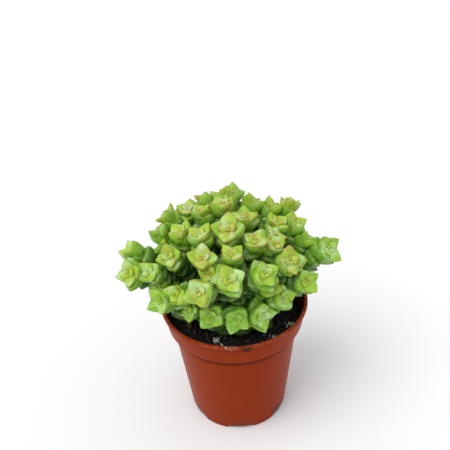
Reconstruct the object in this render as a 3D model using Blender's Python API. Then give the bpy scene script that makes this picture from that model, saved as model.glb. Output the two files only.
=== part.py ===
"""Potted crassula: a plastic nursery pot, its peat and a cushion of stacked-leaf shoots.

Metres, +Z up.  The origin is on the ground, on the pot's own axis.
Dimensions below are in millimetres; MM turns them into metres.
"""
import math
import random

import bmesh
import bpy
from mathutils import Matrix, Vector
from mathutils.bvhtree import BVHTree

MM = 0.001

# --- pot ------------------------------------------------------------------
POT_HEIGHT = 55.0
RIM_RADIUS = 30.0          # outside of the rolled lip
LIP_DEPTH = 1.6            # height of the rolled lip
LIP_PROUD = 0.45           # how far the lip stands out from the collar
COLLAR_HEIGHT = 9.8        # upright band under the lip, lip included
COLLAR_TAPER = 1.6         # radius lost down the collar
LEDGE = 2.0                # step in under the collar
BASE_RADIUS = 20.7
WALL = 0.95
FOOT_HEIGHT = 2.0          # ring that lifts the floor off the ground
FOOT_WIDTH = 1.7
FLOOR_THICKNESS = 1.1
NOTCHES = 6                # air gaps round the foot ring, the first at the front
NOTCH_WIDTH = 10.6
NOTCH_HEIGHT = 1.5
CENTRE_HOLE_RADIUS = 3.6
DRAIN_HOLES = 6
DRAIN_RADIUS = 2.2
DRAIN_CIRCLE = 12.5
POT_SIDES = 44

# --- soil -----------------------------------------------------------------
FIT_GAP = 0.3              # clearance between neighbouring pieces
SOIL_BELOW_RIM = 6.8       # at the wall
SOIL_MOUND = 2.4           # rise towards the middle
SOIL_ROUGHNESS = 0.5
SOIL_SIDES = 32
SOIL_RINGS = 5

# Perlite grains lying on the soil: x, y, size.
GRAINS = ((-7.5, -19.5, 1.5), (14.5, -18.5, 1.2), (22.5, -11.0, 1.4))

# --- plant ----------------------------------------------------------------
STEM_RADIUS = 0.9
ROOT_SPREAD = 17.0         # radius of soil the stems come out of
LEAF_SCALE = 1.10          # on every leaf length in TIPS
LEAF_WIDTH = 0.76          # shoulder radius over leaf length
LEAF_WAIST = 0.54          # radius where the two leaves of a pair join
LEAF_BELLY = 0.58          # underside radius over leaf length
LEAF_THICKNESS = 0.62      # over leaf length, at the stem
YOUNG_LIFT = 0.46          # how far the youngest leaves' points rise, over leaf length
LIFT_LOSS = 0.07           # how much less each older pair rises
PAIR_PITCH = 0.52          # distance between pairs over leaf length
LEAFY_PAIRS = 6            # at most, on the longest shoots
BARE_FOOT = 3.0            # leafless stem above the soil
STEM_STEP = 12.0           # longest straight run of a bare stem
BEND = 0.38                # how far each end of a stem keeps its own direction
LEAF_SHARES = (1.0, 0.88, 0.76, 0.64, 0.52)   # a crowded pair stays this much smaller

# Where the plant's shoots spread from, above the middle of the rim plane.
HEART = Vector((-3.0, 0.0, 0.0))
# Shoot tips lean towards the light, at the front and above.
LIGHT = Vector((0.0, -0.84, 0.54))

# Shoot tips: x, y, height above the rim (mm), leaf length (mm), twist (deg),
# and how far the tip leans from straight outwards to the light (0 to 1).
TIPS = [
    # crown, back row to front row
    (-9.5, 17.0, 38.0, 5.2, 40, 0.25),
    (-1.0, 17.5, 39.0, 5.6, 15, 0.15),
    (9.5, 16.0, 36.0, 5.4, 20, 0.15),
    (2.0, 25.0, 35.5, 4.6, 0, 0.0),
    (-10.0, 6.5, 38.5, 5.6, 60, 0.35),
    (-2.5, 5.5, 41.0, 5.6, 30, 0.35),
    (5.5, 1.5, 37.5, 6.0, 70, 0.45),
    (-1.0, -8.0, 38.0, 6.4, -12, 0.50),
    (9.0, -10.5, 34.0, 5.4, 30, 0.35),
    (-11.5, -9.5, 37.0, 5.8, 55, 0.40),
    (-10.5, -18.0, 33.0, 5.6, 5, 0.30),
    (0.0, -17.5, 33.5, 5.2, 50, 0.30),
    # left flank
    (-16.5, 15.5, 33.5, 4.8, 0, 0.60),
    (-25.0, 14.5, 31.5, 5.2, 30, 0.25),
    (-28.5, 9.5, 26.5, 5.4, 50, 0.20),
    (-28.0, 3.0, 22.5, 5.4, 20, 0.25),
    (-18.5, -3.5, 34.5, 5.6, 65, 0.35),
    (-23.0, -11.0, 29.5, 5.4, 40, 0.50),
    (-38.0, -13.5, 24.5, 5.2, 12, 0.65),
    (-38.0, -4.0, 27.5, 5.0, 55, 0.20),
    (-30.5, -14.0, 25.0, 5.0, 75, 0.35),
    (-27.5, -13.0, 17.5, 4.8, 40, 0.10),
    (-26.5, -21.5, 17.5, 5.8, 50, 0.15),
    (-20.5, -22.5, 20.5, 5.2, 80, 0.35),
    # front
    (-12.0, -26.5, 24.5, 6.0, 22, 0.30),
    (-1.5, -25.5, 28.5, 5.8, 35, 0.20),
    (11.0, -21.5, 27.0, 5.6, 20, 0.20),
    (0.5, -24.5, 10.0, 5.6, 42, 0.10),
    (9.5, -22.0, 9.0, 5.8, 10, 0.05),
    (17.5, -18.5, 13.5, 5.6, 75, 0.15),
    (13.0, -18.5, 19.0, 5.0, 30, 0.10),
    (-8.0, -20.5, 27.5, 5.0, 60, 0.20),
    (-8.5, -23.0, 10.5, 5.6, 65, 0.10),
    (-17.0, -19.0, 11.0, 5.2, 30, 0.10),
    # right flank
    (15.5, -10.0, 31.5, 5.4, 85, 0.15),
    (20.5, -15.0, 27.5, 6.0, -6, 0.45),
    (27.0, -14.5, 17.5, 5.2, 12, 0.55),
    (37.2, 2.0, 20.0, 6.4, 8, 0.50),
    (29.5, 5.5, 23.5, 4.6, 40, 0.20),
    (23.5, -6.5, 20.5, 5.2, 60, 0.20),
    (16.0, -2.5, 31.0, 5.0, 20, 0.15),
    (18.0, 5.5, 31.0, 5.6, 50, 0.20),
    (25.0, 9.0, 28.0, 5.4, 25, 0.20),
    (24.5, 16.0, 33.0, 5.4, 65, 0.10),
    (17.0, 15.0, 33.0, 5.0, 10, 0.15),
]

# The far side of the cushion: rings of tips over the back, low to high.
BACK_RADIUS = 34.0
BACK_DEPTH = 0.81          # the cushion is this much shallower front to back
BACK_RINGS = ((4.0, 5, 5.4), (29.0, 4, 5.4), (50.0, 2, 5.2))   # elevation, tips, leaf length
BACK_SPACING = 9.0         # a tip keeps this far from every other


# --- mesh helpers ---------------------------------------------------------
def material(name, colour, roughness):
    mat = bpy.data.materials.new(name)
    mat.use_nodes = True
    shader = mat.node_tree.nodes["Principled BSDF"]
    shader.inputs["Base Color"].default_value = (*colour, 1.0)
    shader.inputs["Roughness"].default_value = roughness
    mat.diffuse_color = (*colour, 1.0)
    return mat


def add_object(name, verts, faces, mat):
    """One named piece, in metres, faces turned outwards."""
    mesh = bpy.data.meshes.new(name)
    mesh.from_pydata([Vector(v) * MM for v in verts], [], faces)
    bm = bmesh.new()
    bm.from_mesh(mesh)
    bmesh.ops.recalc_face_normals(bm, faces=bm.faces)
    bm.to_mesh(mesh)
    bm.free()
    mesh.materials.append(mat)
    obj = bpy.data.objects.new(name, mesh)
    bpy.context.collection.objects.link(obj)
    return obj


def ring_stack(rings, cap_first=True, cap_last=True):
    """Vertices and faces of a closed skin through rings of equal count."""
    verts = [v for ring in rings for v in ring]
    n = len(rings[0])
    faces = []
    for k in range(len(rings) - 1):
        for i in range(n):
            j = (i + 1) % n
            faces.append((k * n + i, k * n + j, (k + 1) * n + j, (k + 1) * n + i))
    if cap_first:
        faces.append(tuple(range(n))[::-1])
    if cap_last:
        faces.append(tuple((len(rings) - 1) * n + i for i in range(n)))
    return verts, faces


def cut(obj, verts, faces):
    """Take a closed tool away from a piece."""
    tool = add_object("cutter", verts, faces, obj.data.materials[0])
    tool.hide_render = True
    tool.display_type = "WIRE"
    mod = obj.modifiers.new("cut", "BOOLEAN")
    mod.operation = "DIFFERENCE"
    mod.solver = "EXACT"
    mod.object = tool
    with bpy.context.temp_override(object=obj, active_object=obj):
        bpy.ops.object.modifier_apply(modifier=mod.name)
    bpy.data.objects.remove(tool, do_unlink=True)


# --- pot ------------------------------------------------------------------
def collar_radius(depth):
    """Outside radius of the collar at a depth below the rim."""
    return RIM_RADIUS - LIP_PROUD - COLLAR_TAPER * depth / COLLAR_HEIGHT


BODY_TOP_RADIUS = collar_radius(COLLAR_HEIGHT) - LEDGE
LEDGE_Z = POT_HEIGHT - COLLAR_HEIGHT
STEP_TOP = LEDGE_Z + 1.15 * WALL      # the wall keeps its thickness over the ledge
STEP_LOW = LEDGE_Z - 0.1
FLOOR_TOP = FOOT_HEIGHT + FLOOR_THICKNESS


def body_radius(z):
    """Outside radius of the pot's tapered body."""
    return BASE_RADIUS + (BODY_TOP_RADIUS - BASE_RADIUS) * z / LEDGE_Z


def inner_radius(z):
    """Inside radius of the pot at a height."""
    if z >= STEP_TOP:
        return collar_radius(POT_HEIGHT - z) - WALL
    if z <= STEP_LOW:
        return body_radius(z) - WALL
    low = body_radius(STEP_LOW) - WALL
    high = collar_radius(POT_HEIGHT - STEP_TOP) - WALL
    return low + (high - low) * (z - STEP_LOW) / (STEP_TOP - STEP_LOW)


def circle(radius, z, count, phase=0.0):
    return [
        (radius * math.cos(phase + math.tau * i / count),
         radius * math.sin(phase + math.tau * i / count), z)
        for i in range(count)
    ]


def build_pot(mat):
    top = POT_HEIGHT
    profile = [
        (0.0, FOOT_HEIGHT),
        (BASE_RADIUS - FOOT_WIDTH, FOOT_HEIGHT),
        (BASE_RADIUS - FOOT_WIDTH, 0.0),
        (BASE_RADIUS - 0.3, 0.0),
        (BASE_RADIUS, 0.3),
        (body_radius(LEDGE_Z - 0.4), LEDGE_Z - 0.4),
        (BODY_TOP_RADIUS + 0.4, LEDGE_Z),
        (collar_radius(COLLAR_HEIGHT) - 0.35, LEDGE_Z),
        (collar_radius(COLLAR_HEIGHT), LEDGE_Z + 0.35),
        (collar_radius(LIP_DEPTH), top - LIP_DEPTH),
        (RIM_RADIUS, top - LIP_DEPTH + 0.45),
        (RIM_RADIUS, top - 0.55),
        (RIM_RADIUS - 0.45, top),
        (inner_radius(top) + 0.3, top),
        (inner_radius(top - 0.35), top - 0.35),
        (inner_radius(STEP_TOP), STEP_TOP),
        (inner_radius(STEP_LOW), STEP_LOW),
        (inner_radius(FLOOR_TOP), FLOOR_TOP),
        (0.0, FLOOR_TOP),
    ]
    rings = [circle(r, z, POT_SIDES) for r, z in profile[1:-1]]
    verts, faces = ring_stack(rings)
    pot = add_object("pot", verts, faces, mat)
    for k in range(NOTCHES):
        turn = Matrix.Rotation(-math.pi / 2 + math.tau * k / NOTCHES, 3, "Z")
        near, far = BASE_RADIUS - FOOT_WIDTH - 2.0, BASE_RADIUS + 2.0
        half = NOTCH_WIDTH / 2
        box = [
            [turn @ Vector((x, y, z)) for x, y in ((near, -half), (far, -half), (far, half), (near, half))]
            for z in (-1.0, NOTCH_HEIGHT)
        ]
        cut(pot, *ring_stack(box))
    holes = [(0.0, 0.0, CENTRE_HOLE_RADIUS)]
    for k in range(DRAIN_HOLES):
        a = math.tau * (k + 0.5) / DRAIN_HOLES
        holes.append((DRAIN_CIRCLE * math.cos(a), DRAIN_CIRCLE * math.sin(a), DRAIN_RADIUS))
    for x, y, radius in holes:
        rings = [
            [(px + x, py + y, pz) for px, py, pz in circle(radius, z, 12)]
            for z in (FOOT_HEIGHT - 1.0, FLOOR_TOP + 1.0)
        ]
        cut(pot, *ring_stack(rings))
    return pot


# --- soil -----------------------------------------------------------------
SOIL_TOP = POT_HEIGHT - SOIL_BELOW_RIM


def build_soil(mat):
    rng = random.Random(11)
    edge = inner_radius(SOIL_TOP) - FIT_GAP
    rings = []
    levels = [FLOOR_TOP + FIT_GAP, STEP_LOW, STEP_TOP, SOIL_TOP]
    for z in levels:
        rings.append(circle(inner_radius(z) - FIT_GAP, z, SOIL_SIDES))
    for k in range(1, SOIL_RINGS):
        share = 1.0 - k / SOIL_RINGS
        rise = SOIL_MOUND * (1.0 - share * share)
        ring = []
        for x, y, z in circle(edge * share, SOIL_TOP + rise, SOIL_SIDES):
            ring.append((x, y, z + rng.uniform(-SOIL_ROUGHNESS, SOIL_ROUGHNESS)))
        rings.append(ring)
    verts, faces = ring_stack(rings, cap_last=False)
    verts.append((0.0, 0.0, SOIL_TOP + SOIL_MOUND))
    last = (len(rings) - 1) * SOIL_SIDES
    for i in range(SOIL_SIDES):
        faces.append((last + i, last + (i + 1) % SOIL_SIDES, len(verts) - 1))
    return add_object("soil", verts, faces, mat)


def surface_finder(obj):
    """BVH of a piece, in millimetres, triangulated."""
    mesh = obj.data
    mesh.calc_loop_triangles()
    verts = [v.co / MM for v in mesh.vertices]
    return BVHTree.FromPolygons(verts, [tuple(t.vertices) for t in mesh.loop_triangles])


def ground_height(soil, x, y, radius):
    """Highest soil under a round foot."""
    best = -1.0
    for dx, dy in [(0.0, 0.0)] + [
        (radius * math.cos(a), radius * math.sin(a)) for a in (i * math.tau / 12 for i in range(12))
    ]:
        hit = soil.ray_cast(Vector((x + dx, y + dy, POT_HEIGHT + 20.0)), Vector((0, 0, -1)))[0]
        if hit is not None:
            best = max(best, hit.z)
    return best


def build_grain(name, x, y, size, soil, mat):
    """A rough grain of perlite just clear of the soil under it."""
    rng = random.Random(name)
    bm = bmesh.new()
    bmesh.ops.create_icosphere(bm, subdivisions=1, radius=size / 2)
    verts = [v.co * rng.uniform(0.85, 1.15) for v in bm.verts]
    faces = [tuple(v.index for v in f.verts) for f in bm.faces]
    bm.free()
    base = ground_height(soil, x, y, size * 0.6) + FIT_GAP - min(v.z for v in verts)
    return add_object(name, [v + Vector((x, y, base)) for v in verts], faces, mat)


# --- shoots ---------------------------------------------------------------
RING = 8


def frame_from(axis, twist):
    """Two directions square to a shoot's axis, turned by its twist."""
    across = Vector((0, 0, 1)).cross(axis)
    if across.length < 1e-3:
        across = Vector((1, 0, 0))
    across.normalize()
    up = axis.cross(across)
    turn = math.radians(twist)
    first = across * math.cos(turn) + up * math.sin(turn)
    return first, axis.cross(first)


def leaf_outline(odd):
    """(angle, reach) of the eight outline points of a pair; odd pairs lie crosswise."""
    shoulder = 42.0 if odd else 48.0
    reach = (LEAF_WAIST, LEAF_WIDTH, 1.0) if odd else (1.0, LEAF_WIDTH, LEAF_WAIST)
    angles = [0.0, shoulder, 90.0, 180.0 - shoulder]
    reaches = [reach[0], reach[1], reach[2], reach[1]]
    return [(a + half, r) for half in (0.0, 180.0) for a, r in zip(angles, reaches)]


class Shoot:
    """A stem from the soil to a tip, with crossed leaf pairs stacked on it."""

    def __init__(self, name, tip, length, twist, lean):
        self.name = name
        self.tip = Vector(tip) + Vector((0, 0, POT_HEIGHT))
        self.length = length * LEAF_SCALE
        self.out = (Vector(tip) - HEART).normalized()
        self.axis = (self.out * (1.0 - lean) + LIGHT * lean).normalized()
        self.first = frame_from(self.axis, twist)[0]
        self.pairs = {}

    def depth(self, index):
        """How far below the tip a pair sits, along the stem; index 0 is the youngest open pair."""
        pitch = PAIR_PITCH * self.length
        return 0.62 * pitch * min(index, 1) + 0.96 * pitch * max(index - 1, 0)

    def set_root(self, x, y, ground):
        """Run the stem in one bend from the tip to its foot, and count the pairs it has room for."""
        foot = Vector((x, y, ground + FIT_GAP))
        span = (self.tip - foot).length
        a = self.tip - self.axis * BEND * span
        b = foot + Vector((0, 0, BEND * span))
        steps = 24
        line = []
        for k in range(steps + 1):
            t = k / steps
            u = 1.0 - t
            line.append(self.tip * u ** 3 + a * 3 * u * u * t + b * 3 * u * t * t + foot * t ** 3)
        first, run = self.first, 0.0
        self.stations = []
        for k, here in enumerate(line):
            if k == 0:
                tangent = self.axis
            elif k == steps:
                tangent = Vector((0, 0, 1))
            else:
                tangent = (line[k - 1] - line[k + 1]).normalized()
            first = (first - tangent * first.dot(tangent)).normalized()
            if k:
                run += (here - line[k - 1]).length
            self.stations.append((run, here, first, tangent))
        self.run = run
        self.wanted = 0
        while self.wanted < LEAFY_PAIRS and self.depth(self.wanted + 1) < run - BARE_FOOT:
            self.wanted += 1

    def frame_at(self, depth):
        """Centre, two directions across and the stem's own direction at a depth below the tip."""
        last = self.stations[-1]
        for low, high in zip(self.stations, self.stations[1:]):
            if depth <= high[0] or high is last:
                t = max(0.0, min(1.0, (depth - low[0]) / (high[0] - low[0])))
                tangent = low[3].lerp(high[3], t).normalized()
                first = low[2].lerp(high[2], t)
                first = (first - tangent * first.dot(tangent)).normalized()
                return low[1].lerp(high[1], t), first, tangent.cross(first), tangent
        return None

    def ring(self, depth, polar, rise=0.0):
        """Ring of points round the stem: polar gives (degrees, radius, height) in the frame there."""
        centre, first, second, along = self.frame_at(depth)
        return [
            centre + first * (r * math.cos(math.radians(a))) + second * (r * math.sin(math.radians(a)))
            + along * (z + rise)
            for a, r, z in polar
        ]

    def round_ring(self, depth, radius, rise=0.0):
        return self.ring(depth, [(360.0 * i / RING, radius, 0.0) for i in range(RING)], rise)

    def pair_rings(self, index, share, grow=0.0):
        """Edge ring and underside ring of one leaf pair."""
        young = (0.84, 1.0, 1.04)[min(index, 2)]
        lift = YOUNG_LIFT - LIFT_LOSS * index
        size = self.length * young * share
        below = min(self.depth(index + 1) - self.depth(index) - 0.12, LEAF_THICKNESS * size)
        edge, under = [], []
        for angle, reach in leaf_outline(index % 2 == 1):
            rise = lift * size * ((reach - LEAF_WAIST) / (1.0 - LEAF_WAIST)) ** 1.6
            edge.append((angle, size * reach + grow, rise + grow))
            belly = size * LEAF_BELLY * (0.86 + 0.3 * (reach - LEAF_WAIST))
            under.append((angle, belly + grow, -below - grow))
        depth = self.depth(index)
        return self.ring(depth, edge), self.ring(depth, under)

    def pair_solid(self, index, share, grow):
        """One leaf pair as a closed skin of its own, for clearance tests."""
        edge, under = self.pair_rings(index, share, grow)
        top = self.round_ring(self.depth(index), 0.45 * self.length * share, 0.15 + grow)
        return ring_stack([top, edge, under])

    def samples(self, step=1.2):
        """Points along the stem's centre line."""
        count = max(2, round(self.run / step))
        return [self.frame_at(self.run * k / count)[0] for k in range(count + 1)]

    def stem_rings(self, start):
        """Rings of the bare stem from a depth down to the foot."""
        count = max(1, math.ceil((self.run - start) / STEM_STEP))
        return [
            self.round_ring(start + (self.run - start) * k / count, STEM_RADIUS)
            for k in range(1, count + 1)
        ]

    def stem_solid(self):
        return ring_stack([self.round_ring(0.0, STEM_RADIUS)] + self.stem_rings(0.0))

    def build(self, mat):
        """The whole shoot as one closed skin."""
        size = self.length
        rings = [self.round_ring(0.0, 0.2 * size, 0.06 * size)]
        last = -1
        for index in sorted(self.pairs):
            if index > last + 1:
                rings.append(self.round_ring(self.depth(index), STEM_RADIUS, 0.15))
            edge, under = self.pair_rings(index, self.pairs[index])
            rings += [edge, under]
            if index + 1 not in self.pairs:
                rings.append(self.round_ring(self.depth(index + 1), STEM_RADIUS))
            last = index
        rings += self.stem_rings(self.depth(last + 1))
        verts, faces = ring_stack(rings, cap_first=False)
        centre, _, _, along = self.frame_at(0.0)
        verts.append(centre + along * 0.36 * size)
        for i in range(RING):
            faces.append((i, len(verts) - 1, (i + 1) % RING))
        return add_object(self.name, verts, faces, mat)


def back_tips():
    """Tips over the far side, kept clear of every other tip."""
    tips = [Vector(t[:3]) for t in TIPS]
    rng = random.Random(5)
    found = []
    for elevation, count, length in BACK_RINGS:
        high = math.radians(elevation)
        for k in range(count):
            side = math.radians(8.0 + 164.0 * (k + 0.5) / count + rng.uniform(-4.0, 4.0))
            level = math.cos(high)
            out = Vector((level * math.cos(side), level * math.sin(side) * BACK_DEPTH, math.sin(high)))
            tip = HEART + out * (BACK_RADIUS + rng.uniform(-1.5, 1.5)) + Vector((0, 0, 5.0))
            if min((tip - other).length for other in tips) < BACK_SPACING:
                continue
            tips.append(tip)
            found.append((*tip, length + rng.uniform(-0.3, 0.4), rng.uniform(0, 90), 0.0))
    return found


def distance(points, others):
    return min((p - q).length for p in points for q in others) if others else 99.0


def plant_roots(shoots, ground):
    """Give each stem a foot on the soil where it clears the stems and tips around it."""
    heads = {s: [s.tip - s.axis * d for d in (-1.0, 1.5, 4.0)] for s in shoots}
    placed = []
    for shoot in sorted(shoots, key=lambda s: (s.tip - Vector((0, 0, POT_HEIGHT))).xy.length):
        ideal = Vector((HEART.x * 0.4 + shoot.out.x * ROOT_SPREAD, HEART.y * 0.4 + shoot.out.y * ROOT_SPREAD))
        best, best_score = None, None
        for ring in range(5):
            for k in range(1 if ring == 0 else 8):
                a = math.tau * k / 8 + 0.4 * ring
                x = ideal.x + 1.5 * ring * math.cos(a)
                y = ideal.y + 1.5 * ring * math.sin(a)
                if math.hypot(x, y) > inner_radius(SOIL_TOP) - 5.0:
                    continue
                shoot.set_root(x, y, ground_height(ground, x, y, STEM_RADIUS))
                mine = shoot.samples()
                stems = distance(mine, placed) - 2 * STEM_RADIUS - 0.7
                near = [p for s in shoots if s is not shoot for p in heads[s]]
                tips = distance(mine, near) - 4.2
                score = min(stems, 0.6) * 2.0 + min(tips, 0.6) - 0.04 * ring
                if best_score is None or score > best_score + 1e-9:
                    best, best_score = (x, y), score
        x, y = best
        shoot.set_root(x, y, ground_height(ground, x, y, STEM_RADIUS))
        placed += shoot.samples(0.8)


def clear_of(solid, owner, bodies):
    """True when a skin touches no other shoot's skins."""
    verts, faces = solid
    centre = sum((Vector(v) for v in verts), Vector()) / len(verts)
    reach = max((Vector(v) - centre).length for v in verts)
    tree = None
    for other, middle, radius, skin in bodies:
        if other is owner or (middle - centre).length > reach + radius:
            continue
        if tree is None:
            tree = BVHTree.FromPolygons([Vector(v) for v in verts], faces)
        if tree.overlap(skin):
            return False
    return True


def as_body(owner, solid):
    verts, faces = solid
    centre = sum((Vector(v) for v in verts), Vector()) / len(verts)
    reach = max((Vector(v) - centre).length for v in verts)
    return owner, centre, reach, BVHTree.FromPolygons([Vector(v) for v in verts], faces)


def grow_leaves(shoots, pot, soil):
    """Youngest pairs first on every shoot, each at the largest share that clears the rest."""
    bodies = [(None, Vector((0, 0, 0)), 200.0, pot), (None, Vector((0, 0, 0)), 200.0, soil)]
    bodies += [as_body(s, s.stem_solid()) for s in shoots]
    for index in range(LEAFY_PAIRS):
        for shoot in (s for s in shoots if index < s.wanted):
            for share in LEAF_SHARES:
                if clear_of(shoot.pair_solid(index, share, FIT_GAP), shoot, bodies):
                    shoot.pairs[index] = share
                    bodies.append(as_body(shoot, shoot.pair_solid(index, share, 0.0)))
                    break


def main():
    for obj in list(bpy.data.objects):
        bpy.data.objects.remove(obj, do_unlink=True)
    clay = material("pot_plastic", (0.28, 0.055, 0.018), 0.38)
    peat = material("potting_soil", (0.012, 0.009, 0.007), 0.9)
    leaf = material("leaf_flesh", (0.23, 0.42, 0.075), 0.42)
    white = material("perlite", (0.72, 0.7, 0.66), 0.8)
    pot = build_pot(clay)
    soil = build_soil(peat)
    ground = surface_finder(soil)
    for number, (x, y, size) in enumerate(GRAINS, 1):
        build_grain(f"perlite_{number}", x, y, size, ground, white)
    rows = TIPS + back_tips()
    shoots = []
    for number, (x, y, z, length, twist, lean) in enumerate(rows, 1):
        shoots.append(Shoot(f"shoot_{number:02d}", (x, y, z), length, twist, lean))
    plant_roots(shoots, ground)
    grow_leaves(shoots, surface_finder(pot), ground)
    for shoot in shoots:
        shoot.build(leaf)
        print(shoot.name, "pairs", {k: round(v, 2) for k, v in shoot.pairs.items()})


main()
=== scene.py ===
"""Potted crassula: detailed pieces, materials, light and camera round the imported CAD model.

The plant is laid out in millimetres by the same rules as the CAD source, then scaled to metres.
"""
import random
from math import asin, ceil, cos, exp, hypot, pi, radians, sin, sqrt, tau

import bmesh
import bpy
import numpy as np
from mathutils import Matrix, Vector, noise
from mathutils.bvhtree import BVHTree


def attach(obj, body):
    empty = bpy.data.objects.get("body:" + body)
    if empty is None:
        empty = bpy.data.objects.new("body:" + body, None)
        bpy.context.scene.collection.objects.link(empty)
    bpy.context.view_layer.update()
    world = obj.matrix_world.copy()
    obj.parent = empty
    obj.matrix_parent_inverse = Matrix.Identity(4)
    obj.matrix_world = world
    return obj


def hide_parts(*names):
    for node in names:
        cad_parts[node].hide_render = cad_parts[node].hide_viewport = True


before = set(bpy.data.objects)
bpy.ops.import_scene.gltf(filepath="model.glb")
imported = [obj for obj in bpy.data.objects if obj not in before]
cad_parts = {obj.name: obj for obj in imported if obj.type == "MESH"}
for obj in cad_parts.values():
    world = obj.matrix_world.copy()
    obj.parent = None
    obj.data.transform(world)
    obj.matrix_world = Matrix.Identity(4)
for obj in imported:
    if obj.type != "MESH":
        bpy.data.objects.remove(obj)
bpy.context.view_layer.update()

MM = 0.001
UP = Vector((0.0, 0.0, 1.0))

# --- pot ---
POT_HEIGHT = 55.0
RIM_RADIUS = 30.0  # outside of the rolled lip
LIP_DEPTH = 1.6  # height of the rolled lip
LIP_PROUD = 0.45  # how far the lip stands out from the collar
COLLAR_HEIGHT = 9.8  # upright band under the lip, lip included
COLLAR_TAPER = 1.6  # radius lost down the collar
LEDGE = 2.0  # step in under the collar
BASE_RADIUS = 20.7
WALL = 0.95
FOOT_HEIGHT = 2.0  # ring that lifts the floor off the ground
FOOT_WIDTH = 1.7
FLOOR_THICKNESS = 1.1
NOTCHES = 6  # air gaps round the foot ring, the first at the front
NOTCH_WIDTH = 10.6
NOTCH_HEIGHT = 1.5
CENTRE_HOLE_RADIUS = 3.6
DRAIN_HOLES = 6
DRAIN_RADIUS = 2.2
DRAIN_CIRCLE = 12.5

# --- soil ---
FIT_GAP = 0.3  # clearance between neighbouring pieces
SOIL_BELOW_RIM = 6.8  # at the wall
SOIL_MOUND = 2.4  # rise towards the middle
SOIL_ROUGHNESS = 0.5
SOIL_SIDES = 32
SOIL_RINGS = 5

# Perlite grains lying on the soil: x, y, size.
GRAINS = ((-7.5, -19.5, 1.5), (14.5, -18.5, 1.2), (22.5, -11.0, 1.4))

# --- plant ---
STEM_RADIUS = 0.9
ROOT_SPREAD = 17.0  # radius of soil the stems come out of
LEAF_SCALE = 1.10  # on every leaf length in TIPS
LEAF_WIDTH = 0.76  # shoulder radius over leaf length
LEAF_WAIST = 0.54  # radius where the two leaves of a pair join
LEAF_BELLY = 0.58  # underside radius over leaf length
LEAF_THICKNESS = 0.62  # over leaf length, at the stem
YOUNG_LIFT = 0.46  # how far the youngest leaves' points rise, over leaf length
LIFT_LOSS = 0.07  # how much less each older pair rises
PAIR_PITCH = 0.52  # distance between pairs over leaf length
LEAFY_PAIRS = 6  # at most, on the longest shoots
BARE_FOOT = 3.0  # leafless stem above the soil
STEM_STEP = 12.0  # longest straight run of a bare stem
BEND = 0.38  # how far each end of a stem keeps its own direction
LEAF_SHARES = (1.0, 0.88, 0.76, 0.64, 0.52)  # a crowded pair stays this much smaller

# Where the plant's shoots spread from, above the middle of the rim plane.
HEART = Vector((-3.0, 0.0, 0.0))
# Shoot tips lean towards the light, at the front and above.
LIGHT = Vector((0.0, -0.84, 0.54))

# Shoot tips: x, y, height above the rim (mm), leaf length (mm), twist (deg),
# and how far the tip leans from straight outwards to the light (0 to 1).
TIPS = [
    # crown, back row to front row
    (-9.5, 17.0, 38.0, 5.2, 40, 0.25),
    (-1.0, 17.5, 39.0, 5.6, 15, 0.15),
    (9.5, 16.0, 36.0, 5.4, 20, 0.15),
    (2.0, 25.0, 35.5, 4.6, 0, 0.0),
    (-10.0, 6.5, 38.5, 5.6, 60, 0.35),
    (-2.5, 5.5, 41.0, 5.6, 30, 0.35),
    (5.5, 1.5, 37.5, 6.0, 70, 0.45),
    (-1.0, -8.0, 38.0, 6.4, -12, 0.50),
    (9.0, -10.5, 34.0, 5.4, 30, 0.35),
    (-11.5, -9.5, 37.0, 5.8, 55, 0.40),
    (-10.5, -18.0, 33.0, 5.6, 5, 0.30),
    (0.0, -17.5, 33.5, 5.2, 50, 0.30),
    # left flank
    (-16.5, 15.5, 33.5, 4.8, 0, 0.60),
    (-25.0, 14.5, 31.5, 5.2, 30, 0.25),
    (-28.5, 9.5, 26.5, 5.4, 50, 0.20),
    (-28.0, 3.0, 22.5, 5.4, 20, 0.25),
    (-18.5, -3.5, 34.5, 5.6, 65, 0.35),
    (-23.0, -11.0, 29.5, 5.4, 40, 0.50),
    (-38.0, -13.5, 24.5, 5.2, 12, 0.65),
    (-38.0, -4.0, 27.5, 5.0, 55, 0.20),
    (-30.5, -14.0, 25.0, 5.0, 75, 0.35),
    (-27.5, -13.0, 17.5, 4.8, 40, 0.10),
    (-26.5, -21.5, 17.5, 5.8, 50, 0.15),
    (-20.5, -22.5, 20.5, 5.2, 80, 0.35),
    # front
    (-12.0, -26.5, 24.5, 6.0, 22, 0.30),
    (-1.5, -25.5, 28.5, 5.8, 35, 0.20),
    (11.0, -21.5, 27.0, 5.6, 20, 0.20),
    (0.5, -24.5, 10.0, 5.6, 42, 0.10),
    (9.5, -22.0, 9.0, 5.8, 10, 0.05),
    (17.5, -18.5, 13.5, 5.6, 75, 0.15),
    (13.0, -18.5, 19.0, 5.0, 30, 0.10),
    (-8.0, -20.5, 27.5, 5.0, 60, 0.20),
    (-8.5, -23.0, 10.5, 5.6, 65, 0.10),
    (-17.0, -19.0, 11.0, 5.2, 30, 0.10),
    # right flank
    (15.5, -10.0, 31.5, 5.4, 85, 0.15),
    (20.5, -15.0, 27.5, 6.0, -6, 0.45),
    (27.0, -14.5, 17.5, 5.2, 12, 0.55),
    (37.2, 2.0, 20.0, 6.4, 8, 0.50),
    (29.5, 5.5, 23.5, 4.6, 40, 0.20),
    (23.5, -6.5, 20.5, 5.2, 60, 0.20),
    (16.0, -2.5, 31.0, 5.0, 20, 0.15),
    (18.0, 5.5, 31.0, 5.6, 50, 0.20),
    (25.0, 9.0, 28.0, 5.4, 25, 0.20),
    (24.5, 16.0, 33.0, 5.4, 65, 0.10),
    (17.0, 15.0, 33.0, 5.0, 10, 0.15),
]

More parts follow.
